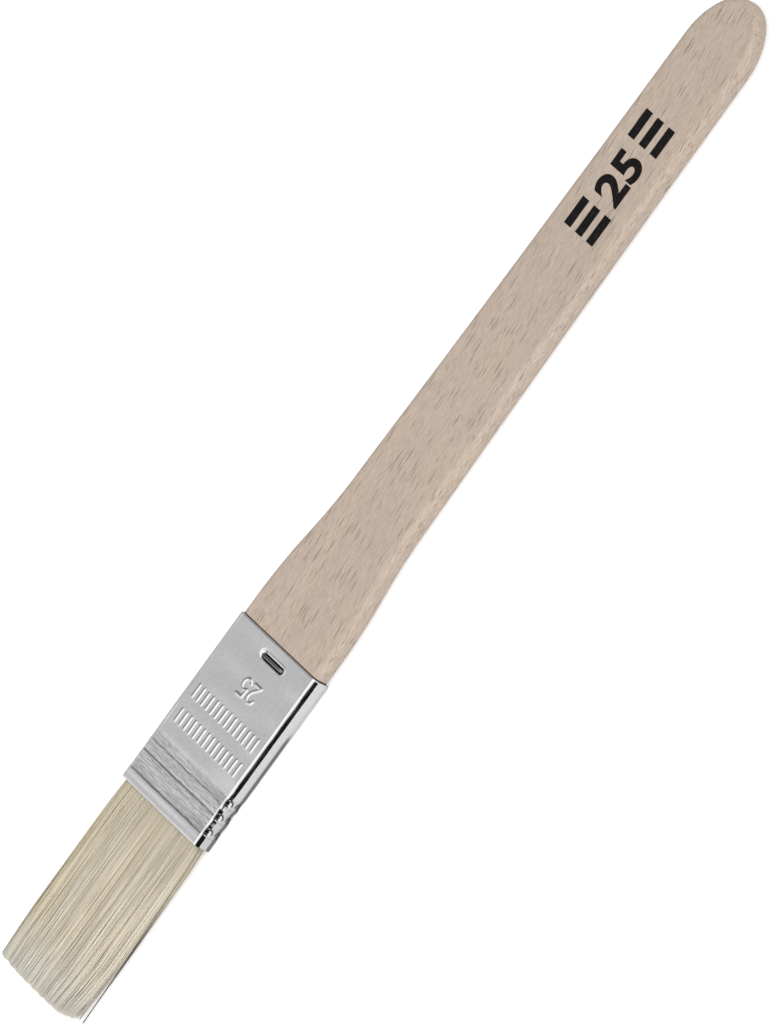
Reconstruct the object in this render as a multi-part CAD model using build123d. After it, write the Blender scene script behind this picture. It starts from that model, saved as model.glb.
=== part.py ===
from build123d import *
import os
from math import sin, sqrt

# Flat pastry brush: a beech handle and a tuft of natural bristle, joined by a crimped sheet-metal ferrule.
#
# The brush lies on its back. +X runs along it towards the end of the handle, +Y across its width, and +Z up
# out of its front face. The origin is the middle of its footprint, on the surface that it rests on.
# All sizes are in millimetres. Each piece is modelled about the brush's middle plane, z = 0, and is
# lifted onto the resting surface when it is written.

# ---- Lengths along the brush ----
bristle_reach = 43.5        # ferrule's mouth to the longest bristle tips
ferrule_length = 40.3       # mouth to rim
handle_reach = 156.2        # ferrule's rim to the end of the handle
bristle_root = 19.0         # bristle held inside the ferrule
setting_length = 6.0        # resin between the bristle butts and the handle

# ---- Ferrule ----
ferrule_width = 26.2
ferrule_thickness = 5.0
ferrule_corner = 1.0        # outer corner radius
sheet = 0.35                # sheet-metal thickness
fit_gap = 0.03              # between the sheet and everything that fills it

# ---- Crimps near the ferrule's mouth ----
crimp_count = 3
crimp_first = 3.4           # mouth to the first crimp
crimp_pitch = 3.6
crimp_radius = 1.0          # radius of the rolling tool
crimp_depth = 0.22          # groove across the wide faces
pinch_depth = 0.45          # groove where it crosses the corners of the plain narrow side
stiff_pinch_depth = 0.15    # the same on the seam's side, where the sheet is double
seam_width = 0.16           # gap along the edge of the lapped sheet
seam_depth = 0.12

# ---- Staples ----
staple_inset = 3.4          # ferrule's rim to the middle of the staple
staple_offset = -1.3        # across the brush, from its middle line to the staples' middle
staple_span = 6.2           # between the middles of the two legs
wire_diameter = 0.8
wire_bend = 0.6             # radius of the wire's middle line at the two bends
leg_stop = 0.3              # leg's end to the brush's middle plane
slot_margin = 0.35          # pressed slot's edge to the wire
slot_depth = 0.85           # pressed slot's floor below the ferrule's face
leg_gap = 0.02              # round each leg where it passes through sheet and wood

# ---- Handle ----
neck_distance = 37.0        # ferrule's rim to the narrow neck
shoulder_start = 4.0        # straight wood before the shoulder curves in
neck_width = 20.6
end_width = 17.6            # where the round end begins
end_length = 12.5           # length of the round end
nose_radius = 6.8           # at the very end, less than half of end_width
grip_hollow = 0.25          # how far each long side of the grip curves in
handle_edge = 1.4           # rounding along the handle's edges

# ---- Tuft ----
strip_thickness = 1.0       # filler strip between the two halves of the tuft
strip_inset = 2.0           # filler strip's end, back from the mouth
strip_margin = 1.5          # filler strip's edge to the sheet
hollow_reach = 16.0         # mouth to where the halves close on each other
half_gap = 0.04             # between the closed halves
tip_thickness = 3.8
tip_flare = 0.25            # how far each side of the tuft spreads, just before its tips draw in
tip_round = 1.4             # length over which the tips round off
tip_shoulder = 9.0          # length over which the tuft's sides draw in
tip_draw_in = 0.7           # how far each side draws in
tip_crown = 0.9             # how much shorter the outer bristles are
lock_count = 11             # locks that the bristle ends gather into
lock_notch = 0.45           # depth of the notch between two locks
parting_width = 0.16
parting_depth = 0.45        # depth of the parting between two locks, at the tips

# ---- Worked out from the sizes above ----
brush_length = bristle_reach + ferrule_length + handle_reach
tip_x = -brush_length / 2
mouth_x = tip_x + bristle_reach
rim_x = mouth_x + ferrule_length
end_x = rim_x + handle_reach
butt_x = mouth_x + bristle_root
tongue_x = butt_x + setting_length
staple_x = rim_x - staple_inset
face_z = ferrule_thickness / 2
side_y = ferrule_width / 2
inner_width = ferrule_width - 2 * sheet
inner_thickness = ferrule_thickness - 2 * sheet
inner_corner = max(ferrule_corner - sheet, 0.05)
crown_z = face_z - slot_depth + wire_diameter / 2
crimp_xs = [mouth_x + crimp_first + crimp_pitch * i for i in range(crimp_count)]


def bar(start_x, stop_x, width, thickness, corner):
    """A straight bar along X with a rounded rectangular section about the middle plane."""
    radius = min(corner, 0.49 * thickness, 0.49 * width)
    section = Plane.YZ.offset(start_x) * RectangleRounded(width, thickness, radius)
    return extrude(section, amount=stop_x - start_x)


def crimp_tools(grow):
    """The rollers that press the sleeve in, each surface moved out by grow.

    At each crimp one lies across each wide face, and one leans on each corner: less hard on the side of
    the seam, which faces +Y.
    """
    tools = []
    across = Cylinder(crimp_radius + grow, ferrule_width + 4, rotation=(90, 0, 0))
    face_roller_z = face_z + crimp_radius - crimp_depth
    for x in crimp_xs:
        for up in (-1, 1):
            tools.append(Pos(x, 0, up * face_roller_z) * across)
            for side, depth in ((-1, pinch_depth), (1, stiff_pinch_depth)):
                step = (ferrule_corner + crimp_radius - depth) / sqrt(2) - ferrule_corner
                leaning = Cylinder(crimp_radius + grow, 2 * ferrule_thickness, rotation=(45 * side * up, 0, 0))
                tools.append(Pos(x, side * (side_y + step), up * (face_z + step)) * leaning)
    return tools


def staple_slot(grow):
    """The pressed slot that a staple's crown sinks into, each surface moved out by grow."""
    length = staple_span + wire_diameter + 2 * (slot_margin + grow)
    width = wire_diameter + 2 * (slot_margin + grow)
    outline = Plane.XY.offset(face_z - slot_depth - grow) * Rot(0, 0, 90) * SlotOverall(length, width)
    slot = extrude(outline, amount=slot_depth + grow + 1)
    front = Pos(staple_x, staple_offset, 0) * slot
    return [front, mirror(front, about=Plane.XY)]


def staple_wire(grow):
    """The front staple's wire, its surface moved out by grow: a straight crown, two bends and two legs."""
    half_span = staple_span / 2
    corner_cut = wire_bend * (1 - 1 / sqrt(2))
    half_route = [
        (half_span, leg_stop - grow),
        (half_span, crown_z - wire_bend),
        (half_span - corner_cut, crown_z - corner_cut),
        (half_span - wire_bend, crown_z),
    ]
    route = [(-y, z) for y, z in half_route] + half_route[::-1]
    path = Polyline(*[(staple_x, staple_offset + y, z) for y, z in route])
    section = Plane(origin=path @ 0, z_dir=(0, 0, 1)) * Circle(wire_diameter / 2 + grow)
    return sweep(section, path=path, transition=Transition.RIGHT)


def staple_holes():
    """The room that both staples take, with a gap round their wire."""
    front = staple_wire(leg_gap)
    return [front, mirror(front, about=Plane.XY)]


def sleeve_filling(start_x, stop_x, gap):
    """What fills the sleeve between two stations, with gap left all round."""
    inside = bar(start_x, stop_x, inner_width - 2 * gap, inner_thickness - 2 * gap, inner_corner)
    return inside - crimp_tools(sheet + gap) - staple_slot(sheet + gap)


def make_ferrule():
    """Folded sleeve of constant sheet thickness, with crimps, a lapped seam and two pressed staple slots."""
    outside = bar(mouth_x, rim_x, ferrule_width, ferrule_thickness, ferrule_corner)
    seam = Pos(mouth_x - 1, side_y, 0) * Box(
        ferrule_length + 2, 2 * seam_depth, seam_width, align=(Align.MIN, Align.CENTER, Align.CENTER)
    )
    outside = outside - crimp_tools(0) - staple_slot(0) - seam
    return outside - sleeve_filling(mouth_x - 1, rim_x + 1, 0) - staple_holes()


def handle_outline():
    """The handle from above: a straight tongue, a shoulder of two arcs, a slow taper and a round end."""
    tongue_half = inner_width / 2 - fit_gap
    neck_half = neck_width / 2
    end_half = end_width / 2
    shoulder_x = rim_x + shoulder_start
    neck_x = rim_x + neck_distance
    round_x = end_x - end_length
    shoulder_middle = ((shoulder_x + neck_x) / 2, (tongue_half + neck_half) / 2)
    # The round end is two arcs a side that meet in line: a nose about the middle line, and a flatter cheek.
    straight = end_length - nose_radius
    cheek_radius = (straight ** 2 + end_half ** 2 - nose_radius ** 2) / (2 * (end_half - nose_radius))
    toward_nose = Vector(straight, cheek_radius - end_half).normalized()
    cheek_end = Vector(round_x, end_half - cheek_radius) + cheek_radius * toward_nose
    root = Line((tongue_x, 0), (tongue_x, tongue_half))
    tongue = Line(root @ 1, (shoulder_x, tongue_half))
    bulge = TangentArc(tongue @ 1, shoulder_middle, tangent=(1, 0))
    hollow = TangentArc(bulge @ 1, (neck_x, neck_half), tangent=bulge % 1)
    grip_middle = ((neck_x + round_x) / 2, (neck_half + end_half) / 2 - grip_hollow)
    grip = ThreePointArc(hollow @ 1, grip_middle, (round_x, end_half))
    cheek = TangentArc(grip @ 1, cheek_end, tangent=(1, 0))
    nose = TangentArc(cheek @ 1, (end_x, 0), tangent=cheek % 1)
    middle = Line((end_x, 0), root @ 0)
    half = make_face([root, tongue, bulge, hollow, grip, cheek, nose, middle])
    return half + mirror(half, about=Plane.XZ)


def make_handle():
    """Beech handle with a tongue in the ferrule, rounded along every edge but those of its root."""
    thickness = inner_thickness - 2 * fit_gap
    blank = Pos(0, 0, -thickness / 2) * extrude(handle_outline(), amount=thickness)
    rims = blank.faces().filter_by(Axis.Z).edges().filter_by(lambda edge: edge.center().X > tongue_x + 0.01)
    blank = fillet(rims, min(handle_edge, 0.48 * thickness))
    return blank - staple_slot(sheet + fit_gap) - staple_holes()


def make_filler_strip():
    """Thin wooden strip that wedges the two halves of the tuft apart inside the ferrule."""
    width = inner_width - 2 * strip_margin
    return bar(mouth_x + strip_inset, butt_x, width, strip_thickness, 0.2 * strip_thickness)


def make_setting():
    """Plug of set resin that fills the sleeve between the bristle butts and the handle."""
    return sleeve_filling(butt_x + fit_gap, tongue_x - fit_gap, fit_gap)


def tip_edge(y):
    """X of the bristle tips at y: the outer bristles are the shorter ones."""
    return tip_x + tip_crown * (2 * y / inner_width) ** 2


def tuft_plan():
    """The tuft from above: straight sides that draw in near the tips, and an end cut in uneven locks."""
    half = inner_width / 2 - fit_gap
    half_pitch = (half - tip_draw_in) / lock_count
    draw_in_x = tip_x + tip_shoulder
    ends = []
    for i in range(2 * lock_count + 1):
        y = half_pitch * (i - lock_count)
        notch = 0 if i % 2 else lock_notch * (0.7 + 0.3 * sin(5 * y))
        ends.append((tip_edge(y) + notch, y))
    tips = Polyline(*ends)
    spread = half + tip_flare
    near = TangentArc((draw_in_x, spread), ends[-1], tangent=(-1, 0))
    far = TangentArc((draw_in_x, -spread), ends[0], tangent=(-1, 0))
    sides = Polyline(
        (draw_in_x, spread),
        (mouth_x, half),
        (butt_x, half),
        (butt_x, -half),
        (mouth_x, -half),
        (draw_in_x, -spread),
    )
    return make_face([tips, near, sides, far])


def tuft_profile():
    """The front half of the tuft from the side: it thins towards the tips and closes on the rear half."""
    outer = inner_thickness / 2 - fit_gap
    inner = strip_thickness / 2 + fit_gap
    outline = Polyline(
        (tip_x, half_gap / 2),
        (mouth_x - hollow_reach, half_gap / 2),
        (mouth_x + strip_inset, inner),
        (butt_x, inner),
        (butt_x, outer),
        (mouth_x, outer),
        (tip_x + tip_round, tip_thickness / 2),
        (tip_x + 0.3 * tip_round, 0.4 * tip_thickness),
        close=True,
    )
    return Plane.XZ * make_face(outline)


def partings():
    """Thin partings between the locks, which deepen towards the tips."""
    half = inner_width / 2 - fit_gap - tip_draw_in
    pitch = 2 * half / lock_count
    top = face_z + 1
    side = Polyline(
        (mouth_x - 2, top),
        (tip_x - 1, top),
        (tip_x - 1, tip_thickness / 2 - parting_depth),
        (mouth_x - 2, inner_thickness / 2),
        close=True,
    )
    blade = extrude(Plane.XZ * make_face(side), amount=parting_width / 2, both=True)
    return [Pos(0, -half + pitch * i, 0) * blade for i in range(1, lock_count)]


def make_bristles():
    """Front half of the tuft, from its butts in the ferrule to its tips."""
    thickness = inner_thickness - 2 * fit_gap
    rooted = bar(mouth_x, butt_x, inner_width - 2 * fit_gap, thickness, inner_corner)
    free = bar(tip_x - 1, mouth_x, inner_width + 2 * tip_flare, thickness, inner_corner)
    plan = Pos(0, 0, -face_z) * extrude(tuft_plan(), amount=ferrule_thickness)
    profile = extrude(tuft_profile(), amount=ferrule_width, both=True)
    return ((rooted + free) & plan & profile) - crimp_tools(sheet + fit_gap) - partings()


def write_node(name, piece):
    """Lifts a piece onto the resting surface and writes it as its own file."""
    piece = Pos(0, 0, face_z) * piece
    piece.label = name
    export_step(piece, "parts/" + name + ".step")


os.makedirs("parts", exist_ok=True)
staple = staple_wire(0)
bristles = make_bristles()
write_node("handle", make_handle())
write_node("ferrule", make_ferrule())
write_node("front_staple", staple)
write_node("rear_staple", mirror(staple, about=Plane.XY))
write_node("front_bristles", bristles)
write_node("rear_bristles", mirror(bristles, about=Plane.XY))
write_node("filler_strip", make_filler_strip())
write_node("bristle_setting", make_setting())
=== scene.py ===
import math

import bmesh
import bpy
import numpy as np
from mathutils import Matrix, Vector


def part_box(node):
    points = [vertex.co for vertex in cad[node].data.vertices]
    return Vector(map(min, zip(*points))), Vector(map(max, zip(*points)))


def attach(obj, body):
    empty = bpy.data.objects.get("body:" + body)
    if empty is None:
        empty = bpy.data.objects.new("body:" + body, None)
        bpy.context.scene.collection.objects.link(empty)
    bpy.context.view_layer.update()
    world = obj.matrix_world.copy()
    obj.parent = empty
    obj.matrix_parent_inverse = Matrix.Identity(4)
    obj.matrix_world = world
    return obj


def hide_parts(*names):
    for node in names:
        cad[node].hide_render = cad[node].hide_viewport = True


# Looks of a flat pastry brush: beech handle, tinned ferrule with wire staples, tuft of natural bristle.
#
# Everything is in metres in the model's own frame: +X towards the end of the handle, +Y across the brush,
# +Z out of its front face. Sizes are written in millimetres, and MM turns them into metres.

MM = 0.001

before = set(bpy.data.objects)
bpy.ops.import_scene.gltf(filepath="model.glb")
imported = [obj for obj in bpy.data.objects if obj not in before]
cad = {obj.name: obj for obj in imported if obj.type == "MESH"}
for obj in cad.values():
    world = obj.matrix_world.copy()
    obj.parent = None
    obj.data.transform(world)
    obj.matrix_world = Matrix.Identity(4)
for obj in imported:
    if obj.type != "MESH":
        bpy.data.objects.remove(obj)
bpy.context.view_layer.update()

# ---- Places taken from the model ----
ferrule_low, ferrule_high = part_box("ferrule")
handle_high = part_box("handle")[1]
bristle_low, bristle_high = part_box("front_bristles")
strip_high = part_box("filler_strip")[1]
staple_low, staple_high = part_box("front_staple")

MOUTH_X = ferrule_low.x
RIM_X = ferrule_high.x
END_X = handle_high.x
TIP_X = bristle_low.x
BUTT_X = bristle_high.x
MIDDLE_Z = (ferrule_low.z + ferrule_high.z) / 2
STAPLE_X = (staple_low.x + staple_high.x) / 2
STAPLE_Y = (staple_low.y + staple_high.y) / 2
WIRE_RADIUS = (staple_high.x - staple_low.x) / 2
FERRULE_HALF_WIDTH = (ferrule_high.y - ferrule_low.y) / 2
FERRULE_HALF_DEPTH = (ferrule_high.z - ferrule_low.z) / 2
SHEET = FERRULE_HALF_DEPTH - (handle_high.z - MIDDLE_Z)


# ======== Small helpers ========

def smooth(low, high, value):
    """0 at low and beyond it, 1 at high and beyond it, and an eased step between them."""
    t = np.clip((value - low) / (high - low), 0.0, 1.0)
    return t * t * (3 - 2 * t)


def bump(value, middle, half_width):
    """An eased hill that is 1 at the middle and 0 beyond half_width."""
    t = np.clip(np.abs(value - middle) / half_width, 0.0, 1.0)
    return (1 - t * t) ** 2


def link(name, data):
    """A new object for a mesh, a curve, a text or a camera, in the scene."""
    made = bpy.data.objects.new(name, data)
    bpy.context.scene.collection.objects.link(made)
    return made


def new_object(name, points, faces, smooth_shaded=True):
    """Makes a mesh object whose points are in the model's frame."""
    mesh = bpy.data.meshes.new(name)
    mesh.from_pydata([tuple(p) for p in points], [], [tuple(f) for f in faces])
    mesh.update()
    if smooth_shaded:
        mesh.polygons.foreach_set("use_smooth", [True] * len(mesh.polygons))
    return link(name, mesh)


def mesh_of(name, curve):
    """The mesh of a curve or a text, which is not kept itself."""
    shape = link(name + "_path", curve)
    bpy.context.view_layer.update()
    mesh = bpy.data.meshes.new_from_object(shape)
    bpy.data.objects.remove(shape)
    return mesh


def set_attribute(mesh, label, values):
    """Gives each point of a mesh a number that its material reads by name."""
    attribute = mesh.attributes.new(label, "FLOAT", "POINT")
    attribute.data.foreach_set("value", values.astype(np.float32))


def dress(piece, material, slot=None):
    """Gives a piece its one material, and a new piece its body too."""
    piece.data.materials.clear()
    piece.data.materials.append(material)
    if slot:
        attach(piece, "root")


# ---- Shader helpers ----

def new_material(name):
    """A node material, its tree and its Principled shader."""
    material = bpy.data.materials.new(name)
    material.use_nodes = True
    return material, material.node_tree, material.node_tree.nodes["Principled BSDF"]


def feed(tree, socket, value):
    """Links a socket to another one, or sets it to a plain value."""
    if isinstance(value, bpy.types.NodeSocket):
        tree.links.new(value, socket)
    else:
        socket.default_value = value


def add(tree, kind, inputs=(), **settings):
    """Adds a shader node with its settings. Inputs are pairs of a socket's name or number and a value."""
    made = tree.nodes.new("ShaderNode" + kind)
    for key, value in settings.items():
        setattr(made, key, value)
    for key, value in inputs:
        feed(tree, made.inputs[key], value)
    return made


def maths(tree, operation, a, b=0.0):
    """The result of a sum on two numbers."""
    return add(tree, "Math", [(0, a), (1, b)], operation=operation).outputs[0]


def times(tree, a, b):
    """The product of two numbers."""
    return maths(tree, "MULTIPLY", a, b)


def weighted(tree, *terms):
    """Adds up numbers, each times its weight. Terms are pairs of a number and a weight."""
    total = None
    for value, weight in terms:
        part = times(tree, value, weight)
        total = part if total is None else maths(tree, "ADD", total, part)
    return total


def remap(tree, value, from_low, from_high, to_low, to_high, easing="LINEAR"):
    """Moves a number from one range to another, and holds it at the ends."""
    ends = [("From Min", from_low), ("From Max", from_high), ("To Min", to_low), ("To Max", to_high)]
    return add(tree, "MapRange", [("Value", value), *ends], interpolation_type=easing).outputs["Result"]


def blend(tree, factor, a, b, mode="MIX"):
    """Mixes two colours."""
    made = add(tree, "Mix", data_type="RGBA", blend_type=mode)
    feed(tree, made.inputs["Factor"], factor)
    feed(tree, made.inputs[6], a)
    feed(tree, made.inputs[7], b)
    return made.outputs[2]


def shaded(tree, colour, shade):
    """A colour times a number."""
    grey = add(tree, "CombineColor", [(0, shade), (1, shade), (2, shade)]).outputs[0]
    return blend(tree, 1.0, colour, grey, "MULTIPLY")


def attribute_value(tree, label):
    """The number that each point of the mesh carries under a name."""
    return add(tree, "Attribute", attribute_name=label).outputs["Fac"]


def place_along(tree):
    """X in the model's frame, in metres."""
    return add(tree, "SeparateXYZ", [(0, add(tree, "TexCoord").outputs["Object"])]).outputs[0]


def grain_space(tree, sizes, turn=0.0):
    """Object coordinates turned about Z, and divided by a length for each axis, in millimetres."""
    place = add(tree, "TexCoord").outputs["Object"]
    turned = add(tree, "Mapping", [("Vector", place), ("Rotation", (0, 0, turn))], vector_type="POINT")
    scale = tuple(1 / (size * MM) for size in sizes)
    pairs = [("Vector", turned.outputs[0]), ("Scale", scale)]
    return add(tree, "Mapping", pairs, vector_type="POINT").outputs[0]


def noise(tree, sizes, turn=0.0, detail=2.0, roughness=0.5):
    """Soft noise about 0.5, whose spots measure about sizes millimetres."""
    space = grain_space(tree, sizes, turn)
    pairs = [("Vector", space), ("Scale", 1.0), ("Detail", detail), ("Roughness", roughness)]
    return add(tree, "TexNoise", pairs).outputs["Fac"]


def relief(tree, height, strength, distance):
    """A normal that follows a height."""
    pairs = [("Strength", strength), ("Distance", distance), ("Height", height)]
    return add(tree, "Bump", pairs).outputs[0]


def paint(tree, shader, specular=None, **values):
    """Feeds a Principled shader's sockets by name, with underscores for spaces."""
    for key, value in values.items():
        feed(tree, shader.inputs[key.replace("_", " ")], value)
    if specular is not None:
        shader.inputs["Specular IOR Level"].default_value = specular


# ======== Materials ========

GRAIN_TURN = math.radians(-6.5)      # the grain runs a little across the handle
SCRATCH_TURN = math.radians(28)      # most scratches on the ferrule slant this way

FIBRE_DARK = (0.483, 0.396, 0.325, 1)
FIBRE_PALE = (0.568, 0.472, 0.393, 1)
WARM_WOOD = (0.560, 0.442, 0.350, 1)
RAY_BROWN = (0.185, 0.13, 0.095, 1)
# Painted shadow where the wood goes into the ferrule.
RIM_SHADOW = (0.035, 0.026, 0.020, 1)
TIN = (0.84, 0.84, 0.855, 1)
WORN_TIN = (0.36, 0.36, 0.37, 1)
# Painted shade and painted reflection of the dark screen on the ferrule.
PAINTED_BLACK = (0.012, 0.011, 0.010, 1)
# The wire's colours, darkened as painted shade of its slot.
WIRE_SHADED_DARK = (0.15, 0.15, 0.155, 1)
WIRE_SHADED_PALE = (0.28, 0.28, 0.29, 1)
HAIR_PALE = ((0.56, 0.495, 0.395, 1), (0.88, 0.83, 0.725, 1))      # from dark strands to light ones
HAIR_GOLD = ((0.55, 0.46, 0.31, 1), (0.88, 0.79, 0.585, 1))
HAIR_ROOT = (0.545, 0.475, 0.36, 1)
HAIR_TIP = (0.79, 0.765, 0.685, 1)
# Painted shade on the dark strands at the tuft's -Y edge.
HAIR_SHADE = (0.10, 0.09, 0.08, 1)
LATE_WOOD = (0.50, 0.37, 0.24, 1)
EARLY_WOOD = (0.70, 0.58, 0.42, 1)
RESIN_DARK = (0.42, 0.28, 0.11, 1)
RESIN_PALE = (0.66, 0.50, 0.26, 1)
INK = (0.006, 0.005, 0.005, 1)
WORN_INK = (0.10, 0.08, 0.065, 1)


def fleck_mask(tree, sizes, reach, shift):
    """Short dark spindles along the grain: 1 in their middles. Reach is their largest half-size in cells."""
    space = grain_space(tree, sizes, GRAIN_TURN)
    moved = add(tree, "Mapping", [("Vector", space), ("Location", shift)], vector_type="POINT").outputs[0]
    cells = add(tree, "TexVoronoi", [("Vector", moved), ("Scale", 1.0), ("Randomness", 1.0)])
    chance = add(tree, "SeparateColor", [(0, cells.outputs["Color"])]).outputs[0]
    size = remap(tree, chance, 0.1, 0.9, 0.3 * reach, reach)
    ratio = maths(tree, "DIVIDE", cells.outputs["Distance"], size)
    return remap(tree, ratio, 1.0, 0.45, 0.0, 1.0, "SMOOTHSTEP")


def beech():
    """Plain sanded beech: pale, fine long fibres, and the short dark spindles of its rays."""
    material, tree, shader = new_material("beech")
    broad = noise(tree, (45, 4, 4), GRAIN_TURN, detail=1.0)
    fibre = noise(tree, (6, 0.42, 0.42), GRAIN_TURN, detail=3.0, roughness=0.6)
    fine = noise(tree, (1.7, 0.20, 0.20), GRAIN_TURN, roughness=0.7)
    warm = noise(tree, (20, 4, 4), GRAIN_TURN)
    dash = noise(tree, (4.0, 0.22, 0.22), GRAIN_TURN, roughness=0.6)
    flecks = fleck_mask(tree, (8.2, 0.37, 0.37), 0.27, (0.0, 0.0, 0.0))
    streaks = fleck_mask(tree, (12.0, 0.50, 0.50), 0.24, (3.1, 5.7, 1.3))
    colour = blend(tree, remap(tree, fibre, 0.32, 0.68, 0.0, 1.0), FIBRE_DARK, FIBRE_PALE)
    colour = blend(tree, remap(tree, warm, 0.35, 0.7, 0.0, 0.6), colour, WARM_WOOD)
    place = place_along(tree)
    shade = remap(tree, place, RIM_X, END_X, 0.995, 0.955)
    shade = times(tree, shade, remap(tree, broad, 0.3, 0.7, 0.96, 1.025))
    shade = times(tree, shade, remap(tree, fine, 0.3, 0.7, 0.83, 1.17))
    colour = shaded(tree, colour, shade)
    marks = maths(tree, "MAXIMUM", times(tree, flecks, 0.95), times(tree, streaks, 0.9))
    marks = maths(tree, "MAXIMUM", marks, remap(tree, dash, 0.54, 0.74, 0.0, 0.34))
    colour = blend(tree, marks, colour, RAY_BROWN)
    # A painted shadow: a dark line on the wood where it goes into the ferrule.
    rim_shadow = remap(tree, place, RIM_X + 0.45 * MM, RIM_X + 0.2 * MM, 0.0, 0.93, "SMOOTHSTEP")
    colour = blend(tree, rim_shadow, colour, RIM_SHADOW)
    height = weighted(tree, (fibre, 0.6), (marks, -0.5))
    normal = relief(tree, height, 0.35, 0.06 * MM)
    paint(tree, shader, specular=0.3, Base_Color=colour, Roughness=0.62, Normal=normal)
    return material


def tinplate():
    """Tinned sheet steel: soft mirror with a faint mottle, fine drawing lines and a few scratches, darkened
    by painted shade and painted reflections.
    """
    material, tree, shader = new_material("tinplate")
    mottle = noise(tree, (0.5, 0.5, 0.5), detail=3.0, roughness=0.65)
    cloud = noise(tree, (7, 5, 5))
    lines = noise(tree, (0.12, 9, 9))
    scratch = noise(tree, (6, 0.08, 0.6), SCRATCH_TURN, detail=1.0)
    colour = shaded(tree, TIN, remap(tree, mottle, 0.3, 0.7, 0.92, 1.02))
    dull = times(tree, remap(tree, scratch, 0.72, 0.78, 0.0, 1.0), 0.1)
    rough = maths(tree, "ADD", remap(tree, cloud, 0.3, 0.7, 0.11, 0.17), dull)
    # The rollers have left the crimped band streaked and uneven.
    rolled = attribute_value(tree, "rolled")
    streaks = noise(tree, (0.24, 3.0, 3.0), detail=3.0, roughness=0.65)
    scuffs = noise(tree, (0.9, 1.1, 1.1), detail=3.0, roughness=0.6)
    streaks = remap(tree, streaks, 0.38, 0.64, 0.0, 0.72)
    worn = times(tree, streaks, remap(tree, scuffs, 0.3, 0.65, 0.45, 1.0))
    colour = blend(tree, times(tree, worn, rolled), colour, WORN_TIN)
    # Painted shade in the slot and the pinches, and painted reflection of the dark screen and the shaded
    # floor on the -Y side, as much as each point carries.
    painted_dark = attribute_value(tree, "painted_dark")
    colour = blend(tree, times(tree, painted_dark, 0.93), colour, PAINTED_BLACK)
    patchy = times(tree, rolled, noise(tree, (0.45, 1.6, 1.6)))
    height = weighted(tree, (mottle, 0.8), (lines, 0.2), (patchy, 6.0))
    normal = relief(tree, height, 0.3, 0.03 * MM)
    paint(tree, shader, Base_Color=colour, Metallic=1.0, Roughness=rough, Normal=normal)
    return material


def wire_steel():
    """Tinned wire, drawn smooth, with slight dulling, and its colour darkened far below the tin's as painted
    shade of the slot that it lies in.
    """
    material, tree, shader = new_material("staple_wire")
    mottle = noise(tree, (0.3, 0.3, 0.3))
    rough = remap(tree, mottle, 0.3, 0.7, 0.16, 0.3)
    colour = blend(tree, mottle, WIRE_SHADED_DARK, WIRE_SHADED_PALE)
    paint(tree, shader, Base_Color=colour, Metallic=1.0, Roughness=rough)
    return material


def bristle():
    """Bleached natural bristle: each strand has its own tone and warmth, and its tip is paler and greyer."""
    material, tree, shader = new_material("bristle")
    tone = attribute_value(tree, "tone")
    place = place_along(tree)
    along = noise(tree, (5, 0.4, 0.4))
    mixed = weighted(tree, (tone, 0.8), (along, 0.2))
    pale = blend(tree, mixed, *HAIR_PALE)
    gold = blend(tree, mixed, *HAIR_GOLD)
    colour = blend(tree, attribute_value(tree, "warmth"), pale, gold)
    root = remap(tree, place, TIP_X + 28 * MM, MOUTH_X, 0.0, 0.5, "SMOOTHSTEP")
    colour = blend(tree, root, colour, HAIR_ROOT)
    tip = remap(tree, place, TIP_X + 14 * MM, TIP_X + 1 * MM, 0.0, 0.75, "SMOOTHSTEP")
    colour = blend(tree, tip, colour, HAIR_TIP)
    # Painted shade: strands whose tone is below 0 turn dark towards their tips.
    dark = remap(tree, tone, -0.5, -0.1, 1.0, 0.0)
    outer = remap(tree, place, MOUTH_X - 8 * MM, MOUTH_X - 26 * MM, 0.0, 1.0, "SMOOTHSTEP")
    colour = blend(tree, times(tree, dark, outer), colour, HAIR_SHADE)
    paint(tree, shader, specular=0.5, Base_Color=colour, Roughness=0.36)
    return material


def softwood():
    """Sawn softwood of the filler strip, with early and late wood bands."""
    material, tree, shader = new_material("strip_wood")
    bands = noise(tree, (40, 1.2, 1.2))
    fibre = noise(tree, (4, 0.2, 0.2))
    mixed = weighted(tree, (bands, 0.7), (fibre, 0.3))
    colour = blend(tree, remap(tree, mixed, 0.35, 0.65, 0.0, 1.0), LATE_WOOD, EARLY_WOOD)
    paint(tree, shader, Base_Color=colour, Roughness=0.75, Normal=relief(tree, fibre, 0.4, 0.1 * MM))
    return material


def resin():
    """Set resin: amber, glossy, slightly cloudy."""
    material, tree, shader = new_material("resin")
    cloud = noise(tree, (2.5, 2.5, 2.5), detail=3.0)
    paint(tree, shader, Base_Color=blend(tree, cloud, RESIN_DARK, RESIN_PALE), Roughness=0.3)
    return material


def ink():
    """Black printing ink, a little thin where the pores of the wood show through."""
    material, tree, shader = new_material("print_ink")
    pores = noise(tree, (1.6, 0.22, 0.22), GRAIN_TURN)
    colour = blend(tree, remap(tree, pores, 0.60, 0.74, 0.0, 0.5), INK, WORN_INK)
    paint(tree, shader, specular=0.12, Base_Color=colour, Roughness=0.6)
    return material


# ======== Ferrule ========

FRONT_CORNER = 1.1 * MM
REAR_CORNER = 1.0 * MM
ROUND = 2.0                 # exponent of a corner's curve: 2 is round, and less is flatter in its middle
PLUS_FOLD = 1.7
MINUS_FOLD = 1.2
FACE_INSET = 0.13 * MM      # keeps the raised marks within the ferrule's size
MARK_HEIGHT = 0.12 * MM
SEAM_DEPTH = 0.12 * MM
SLOT_DEPTH = 0.85 * MM
PINCH_DEPTH = 0.62 * MM
PINCH_ACROSS = 0.88         # share of a pinch that moves the sheet across the brush
PINCH_DOWN = 0.30           # share that moves it towards the middle plane
OUTER_ROWS = 340
INNER_ROWS = 110

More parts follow.
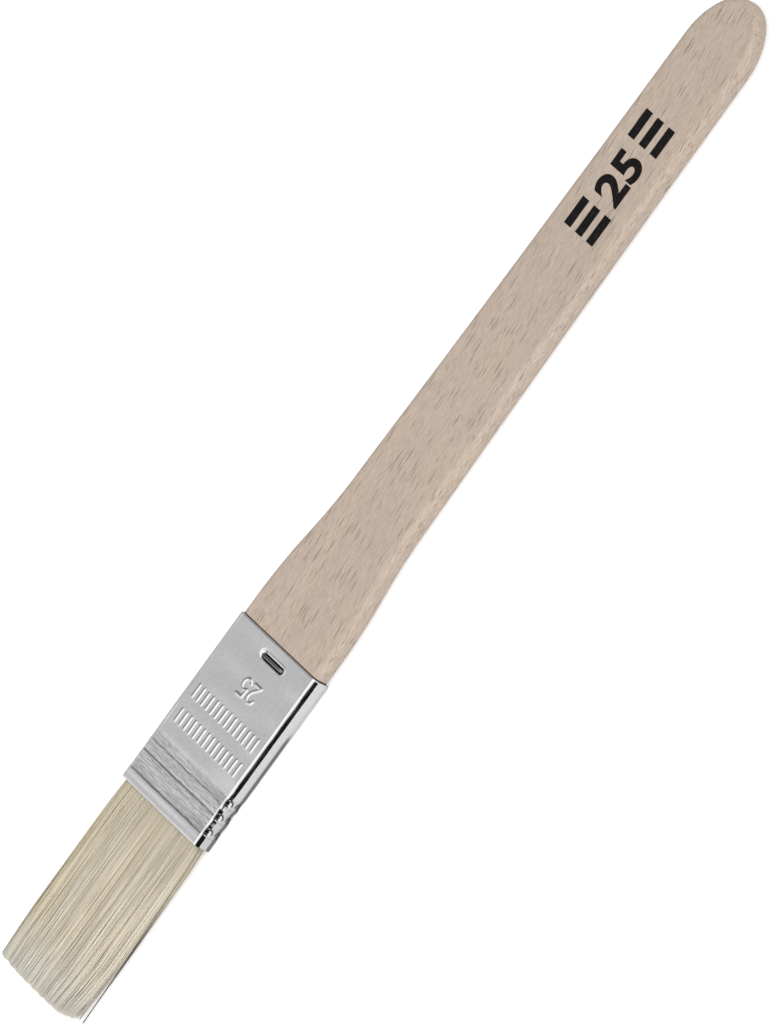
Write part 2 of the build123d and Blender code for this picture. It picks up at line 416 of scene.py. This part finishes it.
# Slopes of the rolled crimps along the face, from the mouth inwards: where each starts and ends in
# millimetres, and how steeply the sheet falls there.
ROLLED_SLOPES = [
    (0.0, 0.35, -0.30), (0.8, 2.3, -0.045), (2.35, 2.95, 0.21), (2.9, 4.7, 0.035), (4.9, 5.2, -0.20),
    (5.5, 6.6, -0.01), (6.75, 7.2, 0.29), (7.35, 7.65, -0.24), (7.8, 9.2, -0.015), (9.45, 9.9, 0.18),
    (9.9, 11.0, 0.03), (11.1, 11.5, 0.07),
]
EASED_GAIN = 1.3                # makes up for the eased ends of each slope
PINCHES = (3.5, 7.1, 10.4)      # millimetres from the mouth to where the rollers pinch the corners
# Where the narrow sides are drawn in: the middle and the half width along the brush, and the depth, in
# millimetres.
DRAWN_IN = ((4.7, 1.3, 0.16), (8.4, 1.4, 0.30), (11.0, 1.2, 0.12))


def section_points(front_steps, plus_steps, minus_steps, corner_steps, rear_steps):
    """The ferrule's section, going round from the -Z end of the +Y side over the front face.

    Gives an array of Y and Z of each point on the sleeve's outside, and of the normal's Y and Z. The
    folded corners of the front are flatter in their middles than a round would be, as bent sheet is.
    """
    half_w = FERRULE_HALF_WIDTH
    half_d = FERRULE_HALF_DEPTH
    points = []

    def line(start, stop, steps, normal):
        for i in range(steps):
            t = i / steps
            points.append((start[0] + (stop[0] - start[0]) * t, start[1] + (stop[1] - start[1]) * t, *normal))

    def corner(cy, cz, radius, start_angle, exponent):
        c = math.cos(start_angle)
        s = math.sin(start_angle)
        turn = np.array([[c, -s], [s, c]])
        for i in range(corner_steps):
            angle = math.pi / 2 * i / corner_steps
            spot = np.array([math.cos(angle), math.sin(angle)]) ** (2 / exponent)
            normal = spot ** (exponent - 1)
            normal /= np.linalg.norm(normal)
            place = np.array([cy, cz]) + radius * (turn @ spot)
            points.append((*place, *(turn @ normal)))

    f = FRONT_CORNER
    r = REAR_CORNER
    line((half_w, r - half_d), (half_w, half_d - f), plus_steps, (1, 0))
    corner(half_w - f, half_d - f, f, 0, PLUS_FOLD)
    line((half_w - f, half_d), (f - half_w, half_d), front_steps, (0, 1))
    corner(f - half_w, half_d - f, f, math.pi / 2, MINUS_FOLD)
    line((-half_w, half_d - f), (-half_w, r - half_d), minus_steps, (-1, 0))
    corner(r - half_w, r - half_d, r, math.pi, ROUND)
    line((r - half_w, -half_d), (half_w - r, -half_d), rear_steps, (0, -1))
    corner(half_w - r, r - half_d, r, 1.5 * math.pi, ROUND)
    return np.array(points)


def stroke_distance(x, y, strokes):
    """Distance from each point to the nearest of some straight strokes, given as pairs of ends."""
    nearest = np.full(x.shape, 1.0)
    for (ax, ay), (bx, by) in strokes:
        dx = bx - ax
        dy = by - ay
        t = np.clip(((x - ax) * dx + (y - ay) * dy) / (dx * dx + dy * dy), 0, 1)
        nearest = np.minimum(nearest, np.hypot(x - ax - t * dx, y - ay - t * dy))
    return nearest


# Corners of each figure's stroke, as shares of its width and height.
FIGURES = {
    "2": [
        (0.0, 0.78), (0.12, 0.93), (0.5, 1.0), (0.88, 0.9), (0.95, 0.68), (0.75, 0.42), (0.0, 0.0),
        (1.0, 0.0),
    ],
    "5": [
        (0.95, 1.0), (0.12, 1.0), (0.05, 0.55), (0.5, 0.63), (0.9, 0.5), (0.97, 0.26), (0.75, 0.05),
        (0.35, 0.0), (0.0, 0.14),
    ],
}


def digit_strokes(digit, x, y, height):
    """Strokes of a figure that stands with its top to -X and its lower left corner at x and y."""
    width = 0.55 * height
    places = [(x - v * height, y + u * width) for u, v in FIGURES[digit]]
    return list(zip(places[:-1], places[1:]))


def pressed_strokes():
    """Raised marks on the front: the width in millimetres, and two rows of plain ribs."""
    figure_x = MOUTH_X + 31.6 * MM
    figure_height = 3.8 * MM
    rib_count = 14
    rib_pitch = 1.55 * MM
    rib_length = 2.7 * MM
    strokes = digit_strokes("2", figure_x, STAPLE_Y - 1.9 * MM, figure_height)
    strokes += digit_strokes("5", figure_x, STAPLE_Y + 1.0 * MM, figure_height)
    for row_x in (MOUTH_X + 15.3 * MM, MOUTH_X + 21.2 * MM):
        for i in range(rib_count):
            y = (i - (rib_count - 1) / 2) * rib_pitch
            strokes.append(((row_x, y), (row_x + rib_length, y)))
    return strokes


def slot_depth(x, y):
    """How deep the staple's pressed slot is at each point of a face, with the low lip pushed up beside it."""
    straight_half = 2.95 * MM
    floor_half = 0.36 * MM
    edge_half = 0.78 * MM
    away = np.hypot(x - STAPLE_X, np.maximum(np.abs(y - STAPLE_Y) - straight_half, 0))
    well = SLOT_DEPTH * (1 - smooth(floor_half, edge_half, away))
    lip = 0.04 * MM * bump(away, 1.04 * MM, 0.30 * MM) * smooth(-0.9 * MM, 0.3 * MM, x - STAPLE_X)
    lip *= 1 - smooth(STAPLE_Y + 1.5 * MM, STAPLE_Y + 3.2 * MM, y)
    # The sheet is dragged down at the +Y end of the wire.
    dragged = np.hypot(x - STAPLE_X - 0.35 * MM, y - STAPLE_Y - 3.15 * MM)
    return np.maximum(well, 0.34 * MM * bump(dragged, 0.0, 1.15 * MM)) - lip


def rolled_depth(from_mouth):
    """How deep the crimps are at a distance from the mouth, both in millimetres."""
    fine = np.linspace(0, 21, 2101)
    slope = np.zeros(fine.shape)
    for start, stop, steepness in ROLLED_SLOPES:
        slope += steepness * bump(fine, (start + stop) / 2, (stop - start) / 2) * EASED_GAIN
    depth = np.cumsum(slope) * (fine[1] - fine[0])
    # Beyond the last crimp the sheet comes back to the plain face.
    depth -= depth[-1] * smooth(9.0, 16.0, fine)
    return np.interp(from_mouth, fine, depth - depth.min())


def below_corner(y, z):
    """Millimetres from the line that halves a corner: positive down the narrow side."""
    return ((FERRULE_HALF_DEPTH - np.abs(z)) - (FERRULE_HALF_WIDTH - np.abs(y))) / MM


def pinch(x, y, z):
    """How far the rollers push each point of a corner in: up to 1 at the -Y front corner, less elsewhere."""
    from_mouth = (x - MOUTH_X) / MM
    down = below_corner(y, z)
    across = smooth(-0.45, 0.2, down) * (1 - smooth(1.28, 1.80, down))
    dents = np.zeros(x.shape)
    for middle in PINCHES:
        dents = np.maximum(dents, 1 - smooth(0.32, 0.80, np.abs(from_mouth - middle)))
    return dents * across * np.where(y < 0, np.where(z > 0, 1.0, 0.15), 0.08)


def painted_shade_and_reflection(x, y, z, ny, nz):
    """How dark each point of the ferrule is painted: painted shade in its hollows, and painted reflection of
    the dark screen and the shaded floor on its -Y side. 0 on plain metal and 1 in the blackest.
    """
    from_mouth = (x - MOUTH_X) / MM
    down = below_corner(y, z)
    # Painted shade deep in the staple's slot.
    slot = smooth(0.22 * MM, 0.6 * MM, slot_depth(x, y)) * (np.abs(nz) > 0.999)
    # A painted reflection of the shaded floor: a dark band low on the -Y side, darker over the two thirds
    # nearest the mouth.
    band = smooth(-0.7 * MM, -1.0 * MM, z) * (1 - smooth(-1.8 * MM, -2.1 * MM, z)) * (ny < -0.2)
    band = band * (0.12 + 0.66 * smooth(29, 26.5, from_mouth))
    # Painted shade and painted reflection of the dark screen on the same side: the mouth's corner, the folded
    # edge over the crimps, and a haze below it.
    lip = (1 - smooth(0.5, 0.9, from_mouth + 0.45 * down)) * smooth(-0.2, 0.1, down)
    fold = smooth(-0.25, -0.08, down) * (1 - smooth(0.15, 0.35, down)) * (1 - smooth(12.0, 13.0, from_mouth))
    haze = 0.13 * smooth(0.9, 1.3, down) * (1 - smooth(11.0, 12.2, from_mouth))
    spots = np.maximum.reduce([lip, 0.95 * fold, haze])
    # Painted shade at each pinch: a dark well, a dark ring on the side of the handle, and a crease on the
    # other side.
    for middle in PINCHES:
        along = from_mouth - middle
        well = (1 - smooth(0.5, 0.78, np.abs(along))) * smooth(-0.25, 0.0, down)
        well = well * (1 - smooth(1.15, 1.35, down))
        away = np.hypot(along, down - 1.2)
        ring = smooth(0.54, 0.64, away) * (1 - smooth(0.90, 1.08, away))
        ring = ring * smooth(-0.4, 0.0, along) * smooth(0.3, 0.6, down)
        crease = 0.5 * bump(along, -0.95, 0.22) * smooth(1.2, 1.8, down) * (1 - smooth(3.4, 4.2, down))
        spots = np.maximum.reduce([spots, well, ring, crease])
    spots = 0.96 * spots * (y < 0) * (z > -2 * MM) * (ny < -0.05)
    return np.maximum.reduce([slot, band, spots])


def ferrule_height(x, y, z, ny, nz):
    """How far the sheet stands out from the plain sleeve, along its normal."""
    front = nz > 0.999
    rear = nz < -0.999
    from_mouth = (x - MOUTH_X) / MM
    # The crimps waver across the face, and are not equally deep all along.
    waver = 0.05 * np.sin(y * 260 + 0.6) + 0.025 * np.sin(y * 1130 + 1.0)
    strength = 0.76 + 0.24 * np.sin(y * 190 + 0.9) * np.sin(from_mouth * 0.9)
    out = -rolled_depth(from_mouth + waver) * strength * MM * np.abs(nz) ** 2
    # The narrow sides are drawn in between the crimps, far less on the side where the sheet is double.
    drawn = np.zeros(x.shape)
    for middle, half_width, depth in DRAWN_IN:
        drawn += depth * bump(from_mouth, middle, half_width)
    out -= drawn * MM * np.abs(ny) ** 1.5 * np.where(y < 0, 1.0, 0.15)
    # The -Y side tucks in low down, all along but near the rim.
    tuck = bump(z, -1.25 * MM, 0.9 * MM) * np.abs(ny)
    out -= 0.10 * MM * tuck * smooth(MOUTH_X + 30 * MM, MOUTH_X + 26 * MM, x) * (y < 0)
    out -= slot_depth(x, y) * (front | rear)
    marks = 1 - smooth(0.06 * MM, 0.42 * MM, stroke_distance(x, y, pressed_strokes()))
    out += MARK_HEIGHT * marks * front
    # The lapped edge of the sheet along the +Y side.
    out -= SEAM_DEPTH * (1 - smooth(0.05 * MM, 0.13 * MM, np.abs(z))) * (ny > 0.999)
    # The folded corners aren't quite straight.
    out += 0.005 * MM * np.sin(x * 900) * np.sin(x * 2130 + 1.1) * 4 * (ny * nz) ** 2
    # The cut edge at the rim is rounded, and thin sheet is slowly uneven.
    out -= 0.08 * MM * smooth(RIM_X - 0.22 * MM, RIM_X, x) ** 2
    out += 0.012 * MM * np.sin(x * 420 + y * 150) * np.cos(y * 330 - x * 90) * (front | rear)
    return out


def ferrule():
    """The folded sleeve as a closed sheet: a fine outer skin, a plainer inner one, and both cut edges."""
    base = section_points(front_steps=180, plus_steps=44, minus_steps=40, corner_steps=26, rear_steps=90)
    count = len(base)
    y0, z0, ny, nz = base.T
    flat = np.abs(nz) > 0.999
    inset = FACE_INSET * smooth(0.8, 1.0, np.abs(nz))
    outer = [(x, 0.0) for x in np.linspace(MOUTH_X, RIM_X, OUTER_ROWS)]
    inner = [(x, SHEET) for x in np.linspace(RIM_X, MOUTH_X, INNER_ROWS)]
    rows = []
    painted_dark = []
    rolled = []
    for x, depth in outer + inner:
        xs = np.full(count, x)
        out = ferrule_height(xs, y0, z0, ny, nz) - inset - depth
        dent = pinch(xs, y0, z0) * PINCH_DEPTH
        ys = y0 + ny * out - np.sign(y0) * PINCH_ACROSS * dent
        zs = z0 + nz * out - np.sign(z0) * PINCH_DOWN * dent
        ys = np.clip(ys, -FERRULE_HALF_WIDTH, FERRULE_HALF_WIDTH)
        zs = np.clip(zs, -FERRULE_HALF_DEPTH, FERRULE_HALF_DEPTH)
        rows.append(np.column_stack([xs, ys, zs + MIDDLE_Z]))
        painted_dark.append(painted_shade_and_reflection(xs, y0, z0, ny, nz))
        begin = smooth(MOUTH_X + 2 * MM, MOUTH_X + 3 * MM, x)
        rolled.append(flat * begin * smooth(MOUTH_X + 12.5 * MM, MOUTH_X + 11 * MM, x))
    faces = []
    for i in range(len(rows)):
        j = (i + 1) % len(rows)
        for k in range(count):
            m = (k + 1) % count
            faces.append((i * count + k, j * count + k, j * count + m, i * count + m))
    piece = new_object("ferrule_sleeve", np.concatenate(rows), faces)
    # Each point carries how dark it is painted as shade and reflection.
    set_attribute(piece.data, "painted_dark", np.concatenate(painted_dark))
    set_attribute(piece.data, "rolled", np.concatenate(rolled))
    return piece


# ======== Staples ========

WIRE_BEND = 0.75 * MM
BEND_STEPS = 6


def staple(name, side):
    """A bent wire: a crown, two round bends and two legs."""
    half_span = (staple_high.y - staple_low.y) / 2 - WIRE_RADIUS
    crown = staple_high.z - MIDDLE_Z - WIRE_RADIUS
    leg_end = staple_low.z - MIDDLE_Z
    path = [(-half_span, leg_end), (-half_span, crown - WIRE_BEND)]
    for i in range(1, BEND_STEPS + 1):
        angle = math.pi / 2 * i / BEND_STEPS
        y = -half_span + WIRE_BEND * (1 - math.cos(angle))
        path.append((y, crown - WIRE_BEND * (1 - math.sin(angle))))
    path += [(-y, z) for y, z in reversed(path)]
    curve = bpy.data.curves.new(name, "CURVE")
    curve.dimensions = "3D"
    spline = curve.splines.new("POLY")
    spline.points.add(len(path) - 1)
    for point, (y, z) in zip(spline.points, path):
        point.co = (STAPLE_X, STAPLE_Y + y, MIDDLE_Z + side * z, 1)
    curve.bevel_depth = WIRE_RADIUS
    curve.bevel_resolution = 6
    curve.use_fill_caps = True
    mesh = mesh_of(name, curve)
    mesh.name = name
    mesh.polygons.foreach_set("use_smooth", [True] * len(mesh.polygons))
    return link(name, mesh)


# ======== Bristles ========

TUFT_HALF_WIDTH = 12.5 * MM
HALF_TUFT_DEPTH = 2.0 * MM
STRAND_PITCH = 0.192 * MM
STRAND_RADIUS = 0.102 * MM
RINGS = 11
SIDES = 4


def tuft_half_width(x, side):
    """The tuft's half width at x on one side: it leaves the sleeve, spreads, then draws in at the tips."""
    sleeve = 12.1 * MM
    leaving = (12.72 if side < 0 else 12.6) * MM
    spread = (12.92 if side < 0 else 12.62) * MM
    at_tip = (11.55 if side < 0 else 12.05) * MM
    width = sleeve + (leaving - sleeve) * smooth(MOUTH_X + 2 * MM, MOUTH_X - 1 * MM, x)
    width = width + (spread - leaving) * smooth(MOUTH_X, TIP_X + 12 * MM, x)
    return width + (at_tip - spread) * smooth(TIP_X + 13 * MM, TIP_X - 1 * MM, x) ** 1.3


def tuft_depth(x, y):
    """Lowest and highest distance from the middle plane of one half of the tuft, at each place."""
    closed = 0.06 * MM
    inner = strip_high.z - MIDDLE_Z + 0.12 * MM
    beyond = smooth(strip_high.y - 0.6 * MM, strip_high.y + 0.5 * MM, np.abs(y))
    low = closed + (inner - closed) * smooth(MOUTH_X - 15 * MM, MOUTH_X + 2 * MM, x) * (1 - beyond)
    sleeve = FERRULE_HALF_DEPTH - SHEET - 0.42 * MM
    leaving = FERRULE_HALF_DEPTH - SHEET - 0.2 * MM
    at_tip = 1.78 * MM
    high = sleeve + (leaving - sleeve) * smooth(MOUTH_X + 2.5 * MM, MOUTH_X - 1.5 * MM, x)
    return low, high + (at_tip - leaving) * smooth(MOUTH_X, TIP_X, x)


def tip_line(y):
    """X of the tips across the tuft: slightly crowned, and cut back further at the -Y corner."""
    across = y / TUFT_HALF_WIDTH
    back = 0.30 * across ** 2 + 0.30 * across ** 4 + 6.0 * np.clip(-across - 0.72, 0, 1) ** 1.3
    return TIP_X + back * MM


def strand_mesh(paths, radii, tones, warmths, name):
    """One mesh of many thin closed tubes. paths is (strands, rings, 3) and radii is (strands, rings)."""
    strands, rings = radii.shape
    along = np.gradient(paths, axis=1)
    along /= np.linalg.norm(along, axis=2, keepdims=True)
    across = np.cross(along, np.array([0.0, 0.0, 1.0]))
    across /= np.linalg.norm(across, axis=2, keepdims=True)
    lift = np.cross(across, along)
    turn = (2 * np.pi * np.arange(SIDES) / SIDES + np.pi / 4)[None, None, :, None]
    ring = across[:, :, None, :] * np.cos(turn) + lift[:, :, None, :] * np.sin(turn)
    points = (paths[:, :, None, :] + ring * radii[:, :, None, None]).reshape(-1, 3)
    quads = []
    for r in range(rings - 1):
        for s in range(SIDES):
            n = (s + 1) % SIDES
            quads.append((r * SIDES + s, r * SIDES + n, (r + 1) * SIDES + n, (r + 1) * SIDES + s))
    quads.append(tuple(range(SIDES - 1, -1, -1)))
    quads.append(tuple((rings - 1) * SIDES + s for s in range(SIDES)))
    faces = (np.array(quads)[None] + (np.arange(strands) * rings * SIDES)[:, None, None]).reshape(-1, 4)
    mesh = bpy.data.meshes.new(name)
    mesh.vertices.add(len(points))
    mesh.vertices.foreach_set("co", points.astype(np.float32).ravel())
    mesh.loops.add(faces.size)
    mesh.loops.foreach_set("vertex_index", faces.ravel())
    mesh.polygons.add(len(faces))
    mesh.polygons.foreach_set("loop_start", np.arange(0, faces.size, 4))
    mesh.polygons.foreach_set("use_smooth", np.ones(len(faces), bool))
    mesh.update(calc_edges=True)
    mesh.validate()
    set_attribute(mesh, "tone", np.repeat(tones, rings * SIDES))
    set_attribute(mesh, "warmth", np.repeat(warmths, rings * SIDES))
    return link(name, mesh)


def strand_grid(draw, side):
    """Where one half's strands stand: u from -1 to 1 across the tuft, v from 0 inside to 1 at its face."""
    columns = int(2 * TUFT_HALF_WIDTH / STRAND_PITCH)
    layers = int(HALF_TUFT_DEPTH / STRAND_PITCH)
    u, v = np.meshgrid((np.arange(columns) + 0.5) / columns * 2 - 1, (np.arange(layers) + 0.5) / layers)
    u = (u + draw.uniform(-0.8, 0.8, u.shape) / columns).ravel()
    v = (v + draw.uniform(-0.5, 0.5, v.shape) / layers).ravel()
    v = np.clip(v, 0, 1)
    # The corners are rounded, beyond this share of the half width.
    reach = np.where(u < 0, 0.93 if side > 0 else 0.975, 0.88)
    past_u = np.maximum(np.abs(u) - reach, 0) / (1 - reach)
    past_v = np.maximum(v - 0.25, 0) / 0.75
    kept = np.hypot(past_u, past_v) < 1.0
    return u[kept], v[kept]


def tuft(name, side, seed):
    """One half of the tuft as separate strands, from their butts in the resin to their tips."""
    draw = np.random.default_rng(seed)
    u, v = strand_grid(draw, side)
    count = len(u)
    # Neighbouring strands lean together in locks, and each strand wanders a little on its own.
    lock = np.sin(u * 9.0 + 1.3 * side) * 0.25 + np.sin(u * 23.0 + 2.1) * 0.18
    lock = lock + np.sin(u * 41.0 + 0.7 * side) * 0.14
    own = draw.normal(0, 0.32, count)
    stray = (draw.random(count) < 0.14) * draw.normal(0, 0.9, count)
    bow = draw.normal(0, 0.12, count) + 0.12 * np.sin(u * 15 + 0.4)
    lift = draw.normal(0, 0.06, count)
    start = BUTT_X - draw.uniform(0.05, 0.3, count) * MM
    notch = 0.28 * np.abs(np.sin(u * 14.5 + 0.5)) ** 6 + 0.18 * np.abs(np.sin(u * 33 + 1.0)) ** 8
    shorter = notch + np.abs(draw.normal(0, 0.12, count)) + 0.5 * np.maximum(v - 0.55, 0) ** 2
    stop = tip_line(u * 12.3 * MM) + shorter * MM
    # A few strands of the rear half part from its -Y side near their tips, and are painted dark as shade.
    loose = (side < 0) & (u < -0.95) & (draw.random(count) < 0.16)
    # Others there stay a little apart from the rest as the tuft draws in, and are painted darker as shade.
    apart = (side < 0) & (u < -0.92) & ~loose & (draw.random(count) < 0.32)
    apart_y = -draw.uniform(11.5, 12.55, count) * MM
    stop = np.maximum(stop + apart * draw.uniform(-0.3, 1.0, count) * MM, TIP_X + 0.02 * MM)
    steps = np.linspace(0, 1, RINGS)
    rows = []
    for t in steps:
        x = start + (stop - start) * t
        limit = np.where(u < 0, tuft_half_width(x, -1), tuft_half_width(x, 1))
        free = np.clip((MOUTH_X - x) / (MOUTH_X - TIP_X), 0, 1)
        y = u * limit + (lock * 0.55 + own + stray) * free ** 1.3 * MM
        y = y + bow * np.sin(np.pi * free) * MM
        low, high = tuft_depth(x, y)
        z = low + (high - low) * v + (lift * free) * MM
        # What would wander out of the tuft's side is gathered along it.
        share = np.abs(y) / limit
        share = np.where(share > 0.93, 0.93 + 0.07 * (1 - np.exp(-(share - 0.93) / 0.07)), share)
        y = np.sign(y) * share * limit
        parted = smooth(TIP_X + 16 * MM, TIP_X, x)
        y = np.where(apart, y * (1 - parted) + apart_y * parted, y)
        y = np.where(loose, -limit * (1 - free) - (12.95 + 0.12 * own) * free * MM, y)
        y = np.clip(y, -12.98 * MM, 12.98 * MM)
        z = np.clip(z, low, high + 0.06 * MM)
        z = np.where(loose, z * (1 - free) + (2.0 - v * 0.5) * free * MM, z)
        rows.append(np.column_stack([x, y, MIDDLE_Z + side * z]))
    thin = 1 - 0.22 * smooth(0.7, 1.0, steps)
    radii = STRAND_RADIUS * draw.uniform(0.8, 1.15, count)[:, None] * thin[None, :]
    # The strands along the -Y edge are lighter and cooler. A tone below 0 marks a strand painted dark as
    # shade.
    edge = smooth(-0.7, -0.95, u)
    tones = np.clip(0.5 + 0.08 * np.sin(u * 17 + 1) + 0.12 * edge + draw.normal(0, 0.25, count), 0, 1)
    tones = np.where(apart, tones - 0.7, tones)
    tones = np.where(loose, -1.0, tones)
    warmths = np.clip(0.38 + 0.25 * np.sin(u * 7.3 + 2) - 0.40 * edge + draw.normal(0, 0.24, count), 0, 1)
    return strand_mesh(np.stack(rows, axis=1), radii, tones, warmths, name)


# ======== Print on the handle ========

PRINT_X = END_X - 42.6 * MM         # the middle of the print
PRINT_LENGTH = 27.5 * MM
FIGURE_SIZE = 10.4 * MM
FIGURE_WEIGHT = 0.36 * MM           # how far the figures' outline is moved out
INK_HALF_THICKNESS = 0.01 * MM
INK_LIFT = 0.008 * MM               # its middle above the wood
STRIPE_WIDTH = 2.1 * MM
STRIPE_LENGTH = 6.4 * MM
STRIPE_PITCH = 3.65 * MM


def figures_mesh():
    """The figures 25, which read towards +X, with their middle at the origin."""
    text = bpy.data.curves.new("figures", "FONT")
    text.body = "25"
    text.size = FIGURE_SIZE
    text.offset = FIGURE_WEIGHT
    text.align_x = "CENTER"
    text.align_y = "CENTER"
    text.space_character = 1.04
    text.extrude = INK_HALF_THICKNESS
    outline = mesh_of("figures", text)
    made = bmesh.new()
    made.from_mesh(outline)
    bpy.data.meshes.remove(outline)
    low = min(v.co.y for v in made.verts)
    high = max(v.co.y for v in made.verts)
    for vertex in made.verts:
        vertex.co.y -= (low + high) / 2
    return made


def handle_print():
    """A plain mark in ink: the width in figures between two sets of stripes. It reads towards +X."""
    top = cad["handle"].ray_cast(Vector((PRINT_X, 0, 1)), Vector((0, 0, -1)))[1].z
    made = figures_mesh()
    stripe_x = (PRINT_LENGTH - STRIPE_LENGTH) / 2
    scale = Matrix.Diagonal((STRIPE_LENGTH, STRIPE_WIDTH, 2 * INK_HALF_THICKNESS, 1))
    for side in (-1, 1):
        for y in (-1, 0, 1):
            place = Matrix.Translation((side * stripe_x, y * STRIPE_PITCH, 0))
            bmesh.ops.create_cube(made, size=1.0, matrix=place @ scale)
    bmesh.ops.translate(made, verts=made.verts, vec=(PRINT_X, 0, top + INK_LIFT))
    mesh = bpy.data.meshes.new("handle_print")
    made.to_mesh(mesh)
    made.free()
    return link("handle_print", mesh)


# ======== Put together ========

tin = tinplate()
wire = wire_steel()
wood = beech()
hair = bristle()

sleeve = ferrule()
dress(sleeve, tin, "tinplate")
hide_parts("ferrule")

# Each piece, the node that it stands for, its side of the middle plane, and a tuft's seed.
STAPLES = (("front_wire_staple", "front_staple", 1), ("rear_wire_staple", "rear_staple", -1))
TUFTS = (("front_tuft", "front_bristles", 1, 11), ("rear_tuft", "rear_bristles", -1, 12))

for name, node, side in STAPLES:
    piece = staple(name, side)
    dress(piece, wire, "staple_wire")
    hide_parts(node)

for name, node, side, seed in TUFTS:
    piece = tuft(name, side, seed)
    dress(piece, hair, "bristle")
    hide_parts(node)

dress(handle_print(), ink(), "beech")
dress(cad["handle"], wood)
dress(cad["filler_strip"], softwood())
dress(cad["bristle_setting"], resin())


# ======== Studio ========

# Directions in the studio are a tilt and a lean, in degrees. The tilt is 0 overhead and positive towards
# -Y, and the lean is positive towards +X. A patch is its range of tilts, its range of leans, and how soft
# its edges are.
LIGHT_LEVEL = 1.04
PATCHES = [      # each with its brightness beside the rest of the studio
    ((-62, -30), (-80, -13), 3, 0.78),
    ((-62, -30), (-13, -1), 3, 0.55),
    ((-62, -30), (-1, 80), 3, 0.20),
    ((-130, -62), (-40, 40), 4, 0.12),
    ((15, 80), (14, 60), 4, 1.7),
    ((15, 80), (-64, -30), 4, 1.7),
    ((-8, 42), (-24, 6), 3, 1.12),
]
SCREEN = ((45, 92), (-24, 8), 2)         # black to polished metal
WALLS = ((47, 120), (-85, 85), 3)        # grey to polished metal
WALLS_DARKNESS = 0.4


def studio_world():
    """A plain bright studio: white to the camera, with dimmer and brighter patches round the brush."""
    world = bpy.data.worlds.new("studio")
    bpy.context.scene.world = world
    world.use_nodes = True
    tree = world.node_tree
    background = tree.nodes["Background"]
    way = add(tree, "SeparateXYZ", [(0, add(tree, "TexCoord").outputs["Generated"])])
    tilt = maths(tree, "ARCTAN2", times(tree, way.outputs[1], -1.0), way.outputs[2])
    lean = maths(tree, "ARCSINE", way.outputs[0])

    def edge(angle, at, soft, before, after):
        begin = math.radians(at - soft)
        end = math.radians(at + soft)
        return remap(tree, angle, begin, end, before, after, "SMOOTHSTEP")

    def between(angle, start, stop, soft):
        return times(tree, edge(angle, start, soft, 0.0, 1.0), edge(angle, stop, soft, 1.0, 0.0))

    def cover(tilts, leans, soft):
        return times(tree, between(tilt, *tilts, soft), between(lean, *leans, soft))

    light = LIGHT_LEVEL
    for tilts, leans, soft, level in PATCHES:
        change = times(tree, cover(tilts, leans, soft), level - 1.0)
        light = times(tree, light, maths(tree, "ADD", 1.0, change))
    # Only polished surfaces show the screen and the walls.
    dark = maths(tree, "MAXIMUM", cover(*SCREEN), times(tree, cover(*WALLS), WALLS_DARKNESS))
    path = add(tree, "LightPath")
    hidden = times(tree, dark, path.outputs["Is Glossy Ray"])
    light = times(tree, light, maths(tree, "SUBTRACT", 1.0, hidden))
    white = times(tree, path.outputs["Is Camera Ray"], maths(tree, "SUBTRACT", 1.0, light))
    background.inputs["Color"].default_value = (1, 1, 1, 1)
    feed(tree, background.inputs["Strength"], maths(tree, "ADD", light, white))


def floor():
    """A plain pale floor that the brush lies on."""
    half = 4.0
    corners = [(-half, -half, 0), (half, -half, 0), (half, half, 0), (-half, half, 0)]
    piece = new_object("floor", corners, [(0, 1, 2, 3)], smooth_shaded=False)
    material, tree, shader = new_material("floor")
    speck = noise(tree, (30, 30, 30), detail=1.0)
    colour = blend(tree, speck, (0.79, 0.79, 0.79, 1), (0.81, 0.81, 0.81, 1))
    path = add(tree, "LightPath")
    glow = weighted(tree, (path.outputs["Is Camera Ray"], 0.42), (path.outputs["Is Glossy Ray"], 0.01))
    paint(tree, shader, specular=0.0, Base_Color=colour, Roughness=0.9)
    paint(tree, shader, Emission_Color=(1, 1, 1, 1), Emission_Strength=glow)
    dress(piece, material)


VIEW_TILT = math.radians(39.46)      # from overhead towards -Y
VIEW_LEAN = math.radians(8.27)       # and towards +X
AXIS_SLOPE = math.radians(53.96)     # of the brush's axis in the view, up to the right
DISTANCE = 2.5
LENS = 451.2
AIM_RIGHT = -3.12 * MM
AIM_UP = -1.56 * MM


def camera():
    """Looks at the middle of the brush from its -Y side, with its axis slanting up to the right."""
    level = math.cos(VIEW_LEAN)
    back = Vector((math.sin(VIEW_LEAN), -math.sin(VIEW_TILT) * level, math.cos(VIEW_TILT) * level))
    axis = Vector((1, 0, 0))
    axis = (axis - back * axis.dot(back)).normalized()
    square = back.cross(axis)
    right = math.cos(AXIS_SLOPE) * axis - math.sin(AXIS_SLOPE) * square
    up = math.sin(AXIS_SLOPE) * axis + math.cos(AXIS_SLOPE) * square
    data = bpy.data.cameras.new("camera")
    data.lens = LENS
    data.clip_end = 20
    eye = link("camera", data)
    place = Matrix((right, up, back)).transposed().to_4x4()
    place.translation = DISTANCE * back + AIM_RIGHT * right + AIM_UP * up
    eye.matrix_world = place
    bpy.context.scene.camera = eye


studio_world()
floor()
camera()
bpy.context.scene.view_settings.view_transform = "Standard"
